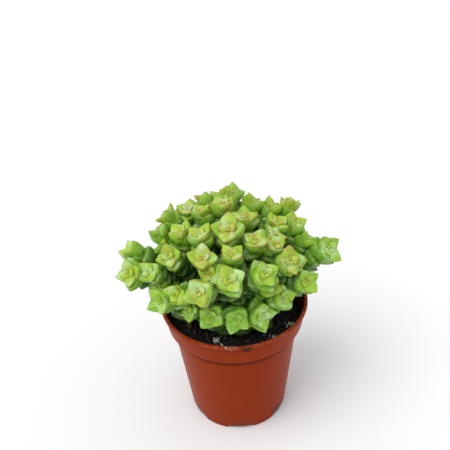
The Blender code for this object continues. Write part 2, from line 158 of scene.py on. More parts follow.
# The far side of the cushion: rings of tips over the back, low to high.
BACK_RADIUS = 34.0
BACK_DEPTH = 0.81  # the cushion is this much shallower front to back
BACK_RINGS = ((4.0, 5, 5.4), (29.0, 4, 5.4), (50.0, 2, 5.2))  # elevation, tips, leaf length
BACK_SPACING = 9.0  # a tip keeps this far from every other


# --- shape rules shared with the CAD ---
def collar_radius(depth):
    """Outside radius of the collar at a depth below the rim."""
    return RIM_RADIUS - LIP_PROUD - COLLAR_TAPER * depth / COLLAR_HEIGHT


BODY_TOP_RADIUS = collar_radius(COLLAR_HEIGHT) - LEDGE
LEDGE_Z = POT_HEIGHT - COLLAR_HEIGHT
STEP_TOP = LEDGE_Z + 1.15 * WALL  # the wall keeps its thickness over the ledge
STEP_LOW = LEDGE_Z - 0.1
FLOOR_TOP = FOOT_HEIGHT + FLOOR_THICKNESS


def body_radius(z):
    """Outside radius of the pot's tapered body."""
    return BASE_RADIUS + (BODY_TOP_RADIUS - BASE_RADIUS) * z / LEDGE_Z


def inner_radius(z):
    """Inside radius of the pot at a height."""
    if z >= STEP_TOP:
        return collar_radius(POT_HEIGHT - z) - WALL
    if z <= STEP_LOW:
        return body_radius(z) - WALL
    low = body_radius(STEP_LOW) - WALL
    high = collar_radius(POT_HEIGHT - STEP_TOP) - WALL
    return low + (high - low) * (z - STEP_LOW) / (STEP_TOP - STEP_LOW)


def polar(radius, angle):
    return radius * cos(angle), radius * sin(angle)


def circle(radius, z, count):
    return [(*polar(radius, tau * i / count), z) for i in range(count)]


SOIL_TOP = POT_HEIGHT - SOIL_BELOW_RIM


def soil_plug():
    """Vertices and faces of the CAD soil, which the stems were placed on."""
    rng = random.Random(11)
    edge = inner_radius(SOIL_TOP) - FIT_GAP
    rings = []
    for z in (FLOOR_TOP + FIT_GAP, STEP_LOW, STEP_TOP, SOIL_TOP):
        rings.append(circle(inner_radius(z) - FIT_GAP, z, SOIL_SIDES))
    for k in range(1, SOIL_RINGS):
        share = 1.0 - k / SOIL_RINGS
        rise = SOIL_MOUND * (1.0 - share * share)
        ring = []
        for x, y, z in circle(edge * share, SOIL_TOP + rise, SOIL_SIDES):
            ring.append((x, y, z + rng.uniform(-SOIL_ROUGHNESS, SOIL_ROUGHNESS)))
        rings.append(ring)
    verts, faces = ring_stack(rings, cap_last=False)
    verts.append((0.0, 0.0, SOIL_TOP + SOIL_MOUND))
    last = (len(rings) - 1) * SOIL_SIDES
    for i in range(SOIL_SIDES):
        faces.append((last + i, last + (i + 1) % SOIL_SIDES, len(verts) - 1))
    return verts, faces


def surface_finder(mesh):
    """BVH of a piece, in millimetres, triangulated."""
    mesh.calc_loop_triangles()
    verts = [v.co / MM for v in mesh.vertices]
    return BVHTree.FromPolygons(verts, [tuple(t.vertices) for t in mesh.loop_triangles])


def ground_height(soil, x, y, radius):
    """Highest soil under a round foot."""
    best = -1.0
    for dx, dy in [(0.0, 0.0)] + [polar(radius, tau * i / 12) for i in range(12)]:
        hit = soil.ray_cast(Vector((x + dx, y + dy, POT_HEIGHT + 20.0)), Vector((0, 0, -1)))[0]
        if hit is not None:
            best = max(best, hit.z)
    return best


# --- shoots ---
RING = 8  # points round a stem and round a leaf pair's outline
FIRST_PITCH, LATER_PITCH = 0.62, 0.96  # drop to the second pair and to each later one, over the pitch
BEND_STEPS = 24  # straight pieces that a stem's curve is cut into
HEAD_DEPTHS = (-1.0, 1.5, 4.0)  # depths below a tip where other stems keep clear of its head
STEM_CLEARANCE = 0.7  # wanted between two stems
HEAD_CLEARANCE = 4.2  # wanted between a stem and another shoot's head
ROOT_RINGS = 5  # rings of places tried for a foot, round its best place
ROOT_STEP = 1.5  # distance between those rings
ROOT_TO_WALL = 5.0  # a foot keeps this far from the pot's wall
BACK_RISE = 5.0  # the far side's tips lie on a ball this much above the heart


def square_to(axis, twist):
    """A direction square to a shoot's axis, turned by its twist."""
    across = UP.cross(axis)
    if across.length < 1e-3:
        across = Vector((1, 0, 0))
    across.normalize()
    up = axis.cross(across)
    turn = radians(twist)
    return across * cos(turn) + up * sin(turn)


def leaf_outline(odd):
    """(angle, reach) of the eight outline points of a pair; odd pairs lie crosswise."""
    shoulder = 42.0 if odd else 48.0
    start, side = (LEAF_WAIST, 1.0) if odd else (1.0, LEAF_WAIST)
    quarter = ((0.0, start), (shoulder, LEAF_WIDTH), (90.0, side), (180.0 - shoulder, LEAF_WIDTH))
    return [(a + half, r) for half in (0.0, 180.0) for a, r in quarter]


class Shoot:
    """A stem from the soil to a tip, with crossed leaf pairs stacked on it."""

    def __init__(self, name, tip, length, twist, lean):
        self.name = name
        self.tip = Vector(tip) + Vector((0, 0, POT_HEIGHT))
        self.length = length * LEAF_SCALE
        self.out = (Vector(tip) - HEART).normalized()
        self.axis = (self.out * (1.0 - lean) + LIGHT * lean).normalized()
        self.first = square_to(self.axis, twist)
        self.pairs = {}

    def depth(self, index):
        """How far below the tip a pair sits, along the stem; index 0 is the youngest open pair."""
        pitch = PAIR_PITCH * self.length
        return FIRST_PITCH * pitch * min(index, 1) + LATER_PITCH * pitch * max(index - 1, 0)

    def set_root(self, x, y, ground):
        """Run the stem in one bend from the tip to its foot, and count the pairs it has room for."""
        foot = Vector((x, y, ground + FIT_GAP))
        span = (self.tip - foot).length
        a = self.tip - self.axis * BEND * span
        b = foot + Vector((0, 0, BEND * span))
        line = []
        for k in range(BEND_STEPS + 1):
            t = k / BEND_STEPS
            u = 1.0 - t
            line.append(self.tip * u ** 3 + a * 3 * u * u * t + b * 3 * u * t * t + foot * t ** 3)
        first, run = self.first, 0.0
        self.stations = []
        for k, here in enumerate(line):
            if k == 0:
                tangent = self.axis
            elif k == BEND_STEPS:
                tangent = UP
            else:
                tangent = (line[k - 1] - line[k + 1]).normalized()
            first = (first - tangent * first.dot(tangent)).normalized()
            if k:
                run += (here - line[k - 1]).length
            self.stations.append((run, here, first, tangent))
        self.run = run
        self.wanted = 0
        while self.wanted < LEAFY_PAIRS and self.depth(self.wanted + 1) < run - BARE_FOOT:
            self.wanted += 1

    def frame_at(self, depth):
        """Centre, two directions across and the stem's own direction at a depth below the tip."""
        last = self.stations[-1]
        for low, high in zip(self.stations, self.stations[1:]):
            if depth <= high[0] or high is last:
                t = max(0.0, min(1.0, (depth - low[0]) / (high[0] - low[0])))
                tangent = low[3].lerp(high[3], t).normalized()
                first = low[2].lerp(high[2], t)
                first = (first - tangent * first.dot(tangent)).normalized()
                return low[1].lerp(high[1], t), first, tangent.cross(first), tangent

    def ring(self, depth, outline):
        """Points round the stem: outline gives (degrees, radius, height) in the frame there."""
        centre, first, second, along = self.frame_at(depth)
        points = []
        for angle, radius, z in outline:
            x, y = polar(radius, radians(angle))
            points.append(centre + first * x + second * y + along * z)
        return points

    def round_ring(self, depth, radius, rise=0.0):
        return self.ring(depth, [(360.0 * i / RING, radius, rise) for i in range(RING)])

    def pair_solid(self, index, share, grow):
        """One leaf pair, grown a little, as a closed skin of its own, for clearance tests."""
        young = (0.84, 1.0, 1.04)[min(index, 2)]
        lift = YOUNG_LIFT - LIFT_LOSS * index
        size = self.length * young * share
        below = min(self.depth(index + 1) - self.depth(index) - 0.12, LEAF_THICKNESS * size)
        edge, under = [], []
        for angle, reach in leaf_outline(index % 2 == 1):
            rise = lift * size * ((reach - LEAF_WAIST) / (1.0 - LEAF_WAIST)) ** 1.6
            edge.append((angle, size * reach + grow, rise + grow))
            belly = size * LEAF_BELLY * (0.86 + 0.3 * (reach - LEAF_WAIST))
            under.append((angle, belly + grow, -below - grow))
        depth = self.depth(index)
        top = self.round_ring(depth, 0.45 * self.length * share, 0.15 + grow)
        return ring_stack([top, self.ring(depth, edge), self.ring(depth, under)])

    def samples(self, step=1.2):
        """Points along the stem's centre line."""
        count = max(2, round(self.run / step))
        return [self.frame_at(self.run * k / count)[0] for k in range(count + 1)]

    def stem_solid(self):
        """The bare stem as a closed skin, for clearance tests."""
        count = max(1, ceil(self.run / STEM_STEP))
        return ring_stack([self.round_ring(self.run * k / count, STEM_RADIUS) for k in range(count + 1)])


def back_tips():
    """Tips over the far side, kept clear of every other tip."""
    tips = [Vector(t[:3]) for t in TIPS]
    rng = random.Random(5)
    found = []
    for elevation, count, length in BACK_RINGS:
        high = radians(elevation)
        for k in range(count):
            side = radians(8.0 + 164.0 * (k + 0.5) / count + rng.uniform(-4.0, 4.0))
            level = cos(high)
            x, y = polar(level, side)
            out = Vector((x, y * BACK_DEPTH, sin(high)))
            tip = HEART + out * (BACK_RADIUS + rng.uniform(-1.5, 1.5)) + Vector((0, 0, BACK_RISE))
            if min((tip - other).length for other in tips) < BACK_SPACING:
                continue
            tips.append(tip)
            found.append((*tip, length + rng.uniform(-0.3, 0.4), rng.uniform(0, 90), 0.0))
    return found


def distance(points, others):
    """Least distance between two sets of points; 99 when the second is empty."""
    return min((p - q).length for p in points for q in others) if others else 99.0


def plant_roots(shoots, ground):
    """Give each stem a foot on the soil where it clears the stems and tips around it."""
    heads = {s: [s.tip - s.axis * d for d in HEAD_DEPTHS] for s in shoots}
    placed = []
    for shoot in sorted(shoots, key=lambda s: (s.tip - Vector((0, 0, POT_HEIGHT))).xy.length):
        ideal = Vector([h * 0.4 + o * ROOT_SPREAD for h, o in zip(HEART.xy, shoot.out.xy)])
        best, best_score = None, None
        for ring in range(ROOT_RINGS):
            for k in range(1 if ring == 0 else 8):
                a = tau * k / 8 + 0.4 * ring
                dx, dy = polar(ROOT_STEP * ring, a)
                x, y = ideal.x + dx, ideal.y + dy
                if hypot(x, y) > inner_radius(SOIL_TOP) - ROOT_TO_WALL:
                    continue
                shoot.set_root(x, y, ground_height(ground, x, y, STEM_RADIUS))
                mine = shoot.samples()
                stems = distance(mine, placed) - 2 * STEM_RADIUS - STEM_CLEARANCE
                near = [p for s in shoots if s is not shoot for p in heads[s]]
                tips = distance(mine, near) - HEAD_CLEARANCE
                score = min(stems, 0.6) * 2.0 + min(tips, 0.6) - 0.04 * ring
                if best_score is None or score > best_score + 1e-9:
                    best, best_score = (x, y), score
        x, y = best
        shoot.set_root(x, y, ground_height(ground, x, y, STEM_RADIUS))
        placed += shoot.samples(0.8)


def ball_round(verts):
    """Centre and radius of a ball that holds every vertex."""
    centre = sum(verts, Vector()) / len(verts)
    return centre, max((v - centre).length for v in verts)


def clear_of(solid, owner, bodies):
    """True when a skin touches no other shoot's skins."""
    centre, reach = ball_round(solid[0])
    tree = None
    for other, middle, radius, skin in bodies:
        if other is owner or (middle - centre).length > reach + radius:
            continue
        if tree is None:
            tree = BVHTree.FromPolygons(*solid)
        if tree.overlap(skin):
            return False
    return True


def as_body(owner, solid):
    """A skin's owner, ball and search tree."""
    return owner, *ball_round(solid[0]), BVHTree.FromPolygons(*solid)


def grow_leaves(shoots, pot, soil):
    """Youngest pairs first on every shoot, each at the largest share that clears the rest."""
    bodies = [(None, Vector(), 200.0, tree) for tree in (pot, soil)]  # in a ball wider than the plant
    bodies += [as_body(s, s.stem_solid()) for s in shoots]
    for index in range(LEAFY_PAIRS):
        for shoot in (s for s in shoots if index < s.wanted):
            for share in LEAF_SHARES:
                if clear_of(shoot.pair_solid(index, share, FIT_GAP), shoot, bodies):
                    shoot.pairs[index] = share
                    bodies.append(as_body(shoot, shoot.pair_solid(index, share, 0.0)))
                    break


# --- mesh helpers ---
def side_faces(count, n):
    """Quads that join a number of rings of n points each."""
    faces = []
    for k in range(count - 1):
        for i in range(n):
            j = (i + 1) % n
            faces.append((k * n + i, k * n + j, (k + 1) * n + j, (k + 1) * n + i))
    return faces


def ring_stack(rings, cap_last=True):
    """Vertices and faces of a closed skin through rings of equal count."""
    verts = [v for ring in rings for v in ring]
    n = len(rings[0])
    faces = side_faces(len(rings), n)
    faces.append(tuple(range(n))[::-1])
    if cap_last:
        faces.append(tuple((len(rings) - 1) * n + i for i in range(n)))
    return verts, faces


def add_object(name, data):
    obj = bpy.data.objects.new(name, data)
    bpy.context.collection.objects.link(obj)
    return obj


def loop(centre, first, second, radius, sides):
    """Ring of points round a centre, in the plane of two directions."""
    turns = [polar(radius, tau * i / sides) for i in range(sides)]
    return [tuple(centre + first * x + second * y) for x, y in turns]


def shifted(verts, dx, dy, dz):
    return [(x + dx, y + dy, z + dz) for x, y, z in verts]


class Skin:
    """Collects vertices (mm), faces and per-vertex numbers of one piece."""

    def __init__(self, *names):
        self.names = names
        self.verts = []
        self.faces = []
        self.values = {n: [] for n in names}
        self.count = 0

    def add(self, verts, faces, **values):
        verts = np.asarray(verts, float)
        self.verts.append(verts)
        for face in faces:
            self.faces.append(tuple(int(i) + self.count for i in face))
        for n in self.names:
            v = values.get(n, 0.0)
            self.values[n].append(np.broadcast_to(np.asarray(v, float), (len(verts),)))
        self.count += len(verts)

    def make(self, name, mat, node):
        """The piece as a smooth object in metres, in place of a CAD node."""
        mesh = bpy.data.meshes.new(name)
        mesh.from_pydata((np.concatenate(self.verts) * MM).tolist(), [], self.faces)
        for n in self.names:
            layer = mesh.attributes.new(n, "FLOAT", "POINT")
            layer.data.foreach_set("value", np.concatenate(self.values[n]).astype("f"))
        mesh.materials.append(mat)
        mesh.validate()
        mesh.shade_smooth()
        obj = add_object(name, mesh)
        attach(obj, "root")
        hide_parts(node)
        return obj


# --- leaves ---
SIDE_STATIONS = 17  # rings from the middle of a pair to a leaf's point
ROUND = 24  # points round a leaf
LEAF_CROWN = 0.19  # height of the upper face's swell, over leaf length
TIP_CURL = 9.0  # degrees that a leaf's outer part turns up


def smooth01(x):
    x = np.clip(x, 0.0, 1.0)
    return x * x * (3.0 - 2.0 * x)


def leaf_sections(width, waist, thickness):
    """Half-width, top crown and underside depth along a leaf, over its length."""
    t = np.linspace(0.0, 1.0, SIDE_STATIONS)
    q = 1.0 - (1.0 - t) ** 1.25
    widest = 0.10
    u = np.clip((q - widest) / (1.0 - widest), 0.0, 1.0)
    taper = 1.0 - u ** 2.1
    half = np.where(q < widest, waist + (width - waist) * smooth01(q / widest), width * taper)
    depth = thickness * (1.0 - q ** 1.9) ** 0.85
    top = LEAF_CROWN * (half / width) ** 0.8 * smooth01(0.2 + q / 0.35)
    return q, np.maximum(half, 0.006), np.maximum(top, 0.004), np.maximum(depth, 0.006)


def leaf_pair(skin, place, length, rise, ramp, width, waist, thickness, rng, **values):
    """Two opposite fleshy leaves grown together at the stem, as one closed skin.

    The leaves bend up by rise (degrees) over the first ramp of their length; width, waist and
    thickness are shares of that length.
    """
    centre, first, second, along = (np.array(v) for v in place)
    q, half, top, depth = leaf_sections(width, waist, thickness)
    rows, reach, margin, upper, fan = [], [], [], [], []
    phi = np.arange(ROUND) * tau / ROUND
    cosine, sine = np.cos(phi), np.sin(phi)
    across = np.sign(cosine) * np.abs(cosine) ** 0.88
    for side in (-1, 1):
        angle = radians(rise + rng.uniform(-5.0, 5.0))
        size = length * rng.uniform(0.95, 1.05)
        bend = rng.uniform(-0.06, 0.06)
        tilt = angle * smooth01(q / ramp) + radians(TIP_CURL) * smooth01((q - 0.6) / 0.4)
        step = np.diff(q, prepend=0.0)
        x = np.cumsum(np.cos(tilt) * step)
        z = np.cumsum(np.sin(tilt) * step)
        order = range(len(q) - 1, 0, -1) if side < 0 else range(len(q))
        for k in order:
            y = half[k] * across
            keel = np.abs(sine) ** (0.9 + 0.45 * q[k])
            ridge = np.abs(sine) ** (0.8 + 0.5 * q[k])
            lift = np.where(sine > 0.0, top[k] * ridge, -depth[k] * keel)
            px = side * (x[k] - sin(tilt[k]) * lift)
            pz = z[k] + cos(tilt[k]) * lift
            py = y + bend * q[k] ** 2 * side
            rows.append(centre + size * (np.outer(px, first) + np.outer(py, second) + np.outer(pz, along)))
            reach.append(np.full(ROUND, q[k]))
            near = (half[k] - np.abs(y)) * size
            margin.append(near + np.where(sine < 0.0, depth[k] * np.abs(sine) * size * 0.8, 0.0))
            upper.append(smooth01(0.5 + 4.0 * sine))
            fan.append(across * half[k] / (0.25 + half[k]) + 3.0 * side)
    n = len(rows)
    points = np.vstack([*rows, rows[0].mean(axis=0), rows[-1].mean(axis=0)])
    faces = side_faces(n, ROUND)
    for i in range(ROUND):
        j = (i + 1) % ROUND
        faces.append((n * ROUND, j, i))
        faces.append((n * ROUND + 1, (n - 1) * ROUND + i, (n - 1) * ROUND + j))
    skin.add(
        points, faces,
        reach=np.concatenate(reach + [[1.0, 1.0]]),
        margin=np.concatenate(margin + [[0.0, 0.0]]),
        upper=np.concatenate(upper + [[0.5, 0.5]]),
        fan=np.concatenate(fan + [[-3.0, 3.0]]),
        **values,
    )


def rotation(degrees, axis):
    return Matrix.Rotation(radians(degrees), 3, axis)


def jitter(place, rng, turn, tip, crossed):
    """The frame of a pair, crossed or not, turned and tipped a little (degrees)."""
    centre, first, second, along = place
    turn = rotation(rng.uniform(-turn, turn), along)
    lean = rotation(rng.uniform(-tip, tip), first)
    side = rotation(rng.uniform(-tip, tip), second)
    spin = side @ lean @ turn
    first, second = spin @ first, spin @ second
    return centre, *((second, -first) if crossed else (first, second)), spin @ along


# How steeply each pair's leaves stand, young to old, and how much more in a head that is still closed.
RISE = (28.0, 19.0, 13.0, 9.0, 6.0, 4.0, 2.0, 0.0)
SHUT_RISE = (22.0, 14.0, 8.0, 4.0, 2.0, 0.0, 0.0, 0.0)

# The bud's own pairs: height over the first open pair and length (both over a leaf's length),
# rise (degrees), whether the pair is crossed, and age.
BUD = ((0.32, 0.24, 40.0, True, 0.0), (0.26, 0.50, 31.0, False, 0.03), (0.16, 0.84, 24.0, True, 0.09))
BUD_SHAPE = (0.40, 0.56, 0.50, 0.46)  # ramp, width, waist and thickness of its leaves
BUD_SHUT_RISE = 18.0  # how much more the bud's leaves stand in a closed head

FULLNESS = 1.11  # soft leaves press on their neighbours, so they are drawn larger
LEAST_SHARE = 0.80  # no drawn pair is smaller than this share, however crowded in the CAD
OLDEST = 6.0  # the pair that counts as fully aged
BURIED = 0.8  # how far the drawn stem runs past its CAD foot, into the soil

# The shoots come in the order of TIPS, so the first ones are the crown's.
TOP_HEADS, UPPER_HEADS = 7, 17
TOP_TURN, UPPER_TURN = -32.0, -17.0  # degrees that their heads are turned up towards the sky
OPEN_HEADS = 16  # the heads before this one are nearly open
TOP_SINK, SINK = 0.24, 0.08  # buds stand over the CAD tips, so stacks sit lower by this share of a leaf


def has_room(centre, length, depth, run):
    """Whether a further pair down the stem stays off the soil and inside the pot's wall."""
    if depth > run - 2.0 or centre.z < SOIL_TOP + 3.5 + 0.3 * length:
        return False
    over_rim = centre.z > POT_HEIGHT + 3.0
    return over_rim or hypot(centre.x, centre.y) + length < inner_radius(SOIL_TOP)


def build_shoot(shoot, leaf_mat, number):
    """One shoot's bud, leaf pairs and stem, as one piece."""
    rng = random.Random(1000 + number)
    skin = Skin("reach", "margin", "upper", "fan", "age", "sun", "tint")
    height = (shoot.tip.z - POT_HEIGHT) / 40.0
    sun = max(0.0, min(1.0, 0.15 + 0.85 * height + rng.uniform(-0.15, 0.15)))
    base_tint = rng.uniform(0.25, 0.75)

    def place_at(depth, up=0.0):
        centre, first, second, along = shoot.frame_at(depth)
        return centre + along * (up - sink), first, second, along

    size = shoot.length * FULLNESS * rng.uniform(0.94, 1.10)
    sink = (TOP_SINK if number < TOP_HEADS else SINK) * size
    upright = TOP_TURN if number < TOP_HEADS else UPPER_TURN if number < UPPER_HEADS else 0.0
    nod = rotation(upright + rng.gauss(0.0, 9.0), "X") @ rotation(rng.gauss(0.0, 9.0), "Y")

    def nodded(place, amount):
        """The head's pairs lean together off the stem's own line."""
        centre, first, second, along = place
        part = Matrix.Identity(3).lerp(nod, amount)
        first = (part @ first).normalized()
        along = (part @ along).normalized()
        second = along.cross(first).normalized()
        return centre, second.cross(along).normalized(), second, along

    shut = rng.uniform(0.0, 0.25 if number < OPEN_HEADS else 1.0)
    for level, share, rise, odd, young in BUD:
        place = jitter(nodded(place_at(0.0, level * size), 1.0), rng, 4.0, 3.0, odd)
        leaf_pair(
            skin, place, size * share, rise + BUD_SHUT_RISE * shut, *BUD_SHAPE, rng,
            age=young, sun=sun, tint=base_tint + rng.uniform(-0.15, 0.15),
        )
    for index, rise in enumerate(RISE):
        depth = shoot.depth(index)
        place = nodded(place_at(min(depth, shoot.run)), max(0.0, 1.0 - 0.3 * index))
        place = jitter(place, rng, 5.0, 4.0, index % 2)
        share = max(shoot.pairs.get(index, 0.0), LEAST_SHARE)
        length = size * (0.94, 1.04, 1.06)[min(index, 2)] * share
        if index not in shoot.pairs and not has_room(place[0], length, depth, shoot.run):
            continue
        leaf_pair(
            skin, place, length, rise + shut * SHUT_RISE[index],
            min(0.42, 0.30 + 0.06 * index), min(0.60, 0.53 + 0.03 * index),
            min(0.55, 0.47 + 0.03 * index), 0.58 + 0.015 * index, rng,
            age=(index + 1) / OLDEST, sun=sun * (1.0 - 0.11 * index),
            tint=base_tint + rng.uniform(-0.3, 0.3),
        )
    stem_tube(skin, shoot, sun)
    skin.make(f"{shoot.name}_leaves", leaf_mat, shoot.name)


def stem_tube(skin, shoot, sun):
    """The stem down to the soil, a little thicker at each node, as a closed tube."""
    rings = []
    steps = max(8, round(shoot.run / 0.8))
    nodes = [shoot.depth(i) for i in range(9)]
    for k in range(steps + 1):
        depth = shoot.run * k / steps
        centre, first, second, _ = shoot.frame_at(depth)
        swell = max(exp(-((depth - n - 1.2) / 0.5) ** 2) for n in nodes)
        radius = STEM_RADIUS * (0.9 + 0.18 * k / steps + 0.16 * swell)
        drop = UP * BURIED if k == steps else Vector()
        rings.append(loop(centre - drop, first, second, radius, 12))
    skin.add(*ring_stack(rings), reach=-1.0, margin=9.0, upper=0.0, age=1.0, sun=sun, tint=0.5)


# --- materials ---
class Nodes:
    """Small helper over the node tree of a material or world."""

    def __init__(self, owner, shader="Principled BSDF", coords="Object"):
        owner.use_nodes = True
        self.owner = owner
        self.tree = owner.node_tree
        self.shader = self.tree.nodes[shader]
        self.coords = self.node("ShaderNodeTexCoord").outputs[coords]

    def node(self, kind, **inputs):
        """A new node with its sockets linked or set; an underscore in a name is a space."""
        node = self.tree.nodes.new(kind)
        for name, value in inputs.items():
            self.put(node.inputs[name.replace("_", " ")], value)
        return node

    def put(self, socket, value):
        if isinstance(value, bpy.types.NodeSocket):
            self.tree.links.new(value, socket)
        else:
            socket.default_value = value

    def surface(self, **values):
        """Put links or constants on the shader's own sockets; returns the finished material or world."""
        for name, value in values.items():
            self.put(self.shader.inputs[name.replace("_", " ")], value)
        return self.owner

    def paint(self, factor, shade):
        """Lay a shade over the colour so far."""
        self.colour = self.mix(factor, self.colour, shade)

    def value(self, name):
        node = self.node("ShaderNodeAttribute")
        node.attribute_name = name
        return node.outputs["Fac"]

    def math(self, op, a, b, clamp=False):
        node = self.node("ShaderNodeMath")
        node.operation = op
        node.use_clamp = clamp
        self.put(node.inputs[0], a)
        self.put(node.inputs[1], b)
        return node.outputs[0]

    def times(self, a, b):
        return self.math("MULTIPLY", a, b)

    def plus(self, a, b):
        return self.math("ADD", a, b)

    def remap(self, value, low, high, to_low=0.0, to_high=1.0):
        """A smooth step from to_low to to_high as a value goes from low to high."""
        node = self.node(
            "ShaderNodeMapRange", Value=value, From_Min=low, From_Max=high, To_Min=to_low, To_Max=to_high)
        node.interpolation_type = "SMOOTHSTEP"
        return node.outputs["Result"]

    def band(self, value, start, full, fade, end):
        """One from full to fade, falling to nothing at start and end."""
        return self.times(self.remap(value, start, full), self.remap(value, fade, end, 1.0, 0.0))

    def mix(self, factor, a, b):
        node = self.node("ShaderNodeMix")
        node.data_type = "RGBA"
        self.put(node.inputs["Factor"], factor)
        colours = [s for s in node.inputs if s.type == "RGBA"]
        for socket, value in zip(colours, (a, b)):
            self.put(socket, (*value, 1.0) if isinstance(value, tuple) and len(value) == 3 else value)
        return next(s for s in node.outputs if s.type == "RGBA")

    def noise(self, scale, detail=3.0, rough=0.5, coords=None):
        coords = coords or self.coords
        return self.node(
            "ShaderNodeTexNoise", Scale=scale, Detail=detail, Roughness=rough, Vector=coords).outputs["Fac"]

    def bump(self, height, strength, distance, **normal):
        return self.node(
            "ShaderNodeBump", Strength=strength, Distance=distance, Height=height, **normal).outputs["Normal"]


def leaf_material():
    n = Nodes(bpy.data.materials.new("leaf_flesh_detail"))
    age, sun, tint = n.value("age"), n.value("sun"), n.value("tint")
    reach, margin, upper = n.value("reach"), n.value("margin"), n.value("upper")
    cloud = n.noise(260.0, 2.0)
    young = n.mix(cloud, (0.42, 0.63, 0.034), (0.225, 0.535, 0.018))
    old = n.mix(cloud, (0.038, 0.205, 0.008), (0.125, 0.385, 0.016))
    ripe = n.plus(n.times(age, 1.05), n.times(tint, 0.55))
    ripe = n.math("SUBTRACT", ripe, n.times(sun, 0.35), clamp=True)
    n.colour = n.mix(ripe, young, old)
    # the low heads stay a deeper green, partly their own colour and partly painted shade for the shade they
    # sit in
    n.paint(n.remap(sun, 0.10, 0.50, 0.42, 0.0), (0.105, 0.36, 0.045))
    # yellow heart of each head, warmer where the sun reaches
    heart = n.times(n.remap(age, 0.0, 0.2, 1.0, 0.0), n.plus(n.times(sun, 0.38), 0.06))
    n.paint(heart, (0.56, 0.49, 0.050))
    # painted shade: the old leaves deep inside the cushion are darkened nearly to black-green
    n.paint(n.remap(age, 0.25, 0.80, 0.0, 0.93), (0.012, 0.060, 0.002))
    # tanned patches on the youngest leaves of the heads in full sun
    tan = n.times(n.remap(age, 0.02, 0.24, 0.62, 0.0), n.remap(n.noise(520.0, 3.0), 0.42, 0.60))
    n.paint(n.times(tan, n.remap(sun, 0.45, 0.95)), (0.44, 0.22, 0.045))
    # painted shade: the undersides are darkened to a deeper, richer green, most of all on the low heads
    underside_shade = n.times(n.remap(upper, 0.0, 0.9, 0.42, 0.0), n.remap(sun, 0.2, 1.0, 1.0, 0.5))
    n.paint(underside_shade, (0.072, 0.265, 0.006))
    # pale streaks running from the stem to the point
    across, shift = n.times(n.value("fan"), 9.0), n.times(n.plus(tint, age), 20.0)
    run = n.node("ShaderNodeCombineXYZ", X=across, Y=n.times(reach, 1.6), Z=shift)
    streak = n.remap(n.noise(1.0, 2.0, 0.5, run.outputs[0]), 0.48, 0.72)
    n.paint(n.times(streak, 0.48), (0.50, 0.70, 0.15))
    # a bluish-white bloom together with a painted sheen highlight, in soft patches, mostly on the upper faces
    # of grown leaves
    bloom_and_sheen = n.remap(n.noise(240.0, 2.0), 0.45, 0.68)
    bloom_and_sheen = n.times(bloom_and_sheen, n.plus(n.times(upper, 0.36), 0.15))
    bloom_and_sheen = n.times(bloom_and_sheen, n.remap(age, 0.35, 0.9, 1.0, 0.14))
    n.paint(bloom_and_sheen, (0.56, 0.80, 0.44))
    # darker join at the stem
    n.paint(n.remap(reach, 0.0, 0.35, 0.35, 0.0), (0.10, 0.22, 0.03))
    # orange to red line along each margin, strongest on sunlit tips
    line = n.remap(n.plus(margin, n.times(n.noise(900.0, 2.0), 0.5)), 0.22, 0.55, 1.0, 0.0)
    blush = n.remap(sun, 0.25, 1.0)
    patch = n.remap(n.noise(420.0, 3.0), 0.42, 0.60)
    near = n.remap(age, 0.1, 0.9, 1.0, 0.45)
    line = n.times(line, n.plus(n.times(n.times(blush, patch), 0.85), 0.12))
    line = n.times(line, near)
    n.paint(line, (0.40, 0.165, 0.035))
    point = n.times(n.remap(reach, 0.86, 1.0), n.plus(n.times(blush, 0.6), 0.12))
    n.paint(point, (0.33, 0.075, 0.035))
    # small pale dots
    dots = n.node("ShaderNodeTexVoronoi", Scale=1500.0, Vector=n.coords)
    dot = n.times(n.remap(dots.outputs["Distance"], 0.10, 0.22, 1.0, 0.0), 0.35)
    n.paint(dot, (0.62, 0.70, 0.36))
    # woody brown on the bare stem
    bark = n.mix(n.noise(1100.0, 4.0), (0.17, 0.10, 0.035), (0.26, 0.20, 0.07))
    n.paint(n.remap(reach, -0.6, -0.3, 1.0, 0.0), bark)
    rough = n.plus(n.times(n.noise(700.0, 3.0), 0.20), 0.26)
    fine = n.bump(n.noise(3200.0, 3.0), 0.25, 0.00012)
    normal = n.bump(n.noise(500.0, 2.0), 0.35, 0.0004, Normal=fine)
    n.surface(Subsurface_Weight=0.35, Subsurface_Radius=(0.9, 1.4, 0.3), Subsurface_Scale=0.0012)
    return n.surface(Base_Color=n.colour, Roughness=rough, Specular_IOR_Level=0.38, Normal=normal)


# Dark marks on the pot: x, y, z, reach (mm). The five low on the right, over a foot notch, are a painted
# shadow of the notch; the three under the lip are smears of wet peat.
NOTCH_SHADOW_AND_PEAT = (
    (16.6, -12.8, 2.8, 2.2), (15.4, -14.2, 2.2, 1.9), (17.6, -11.2, 3.6, 1.2), (15.3, -14.8, 5.0, 1.2),
    (14.2, -15.9, 3.9, 1.2), (2.4, -29.5, 54.2, 1.4), (3.7, -29.3, 53.5, 1.9), (5.0, -29.1, 54.2, 1.2),
)
# Perlite dust on the lip: x, y, z, reach (mm).
DUST = ((-4.2, -28.9, 55.0, 1.3), (-2.0, -29.1, 55.0, 1.7), (0.3, -29.2, 55.0, 1.1), (26.6, -11.6, 55.0, 1.2))


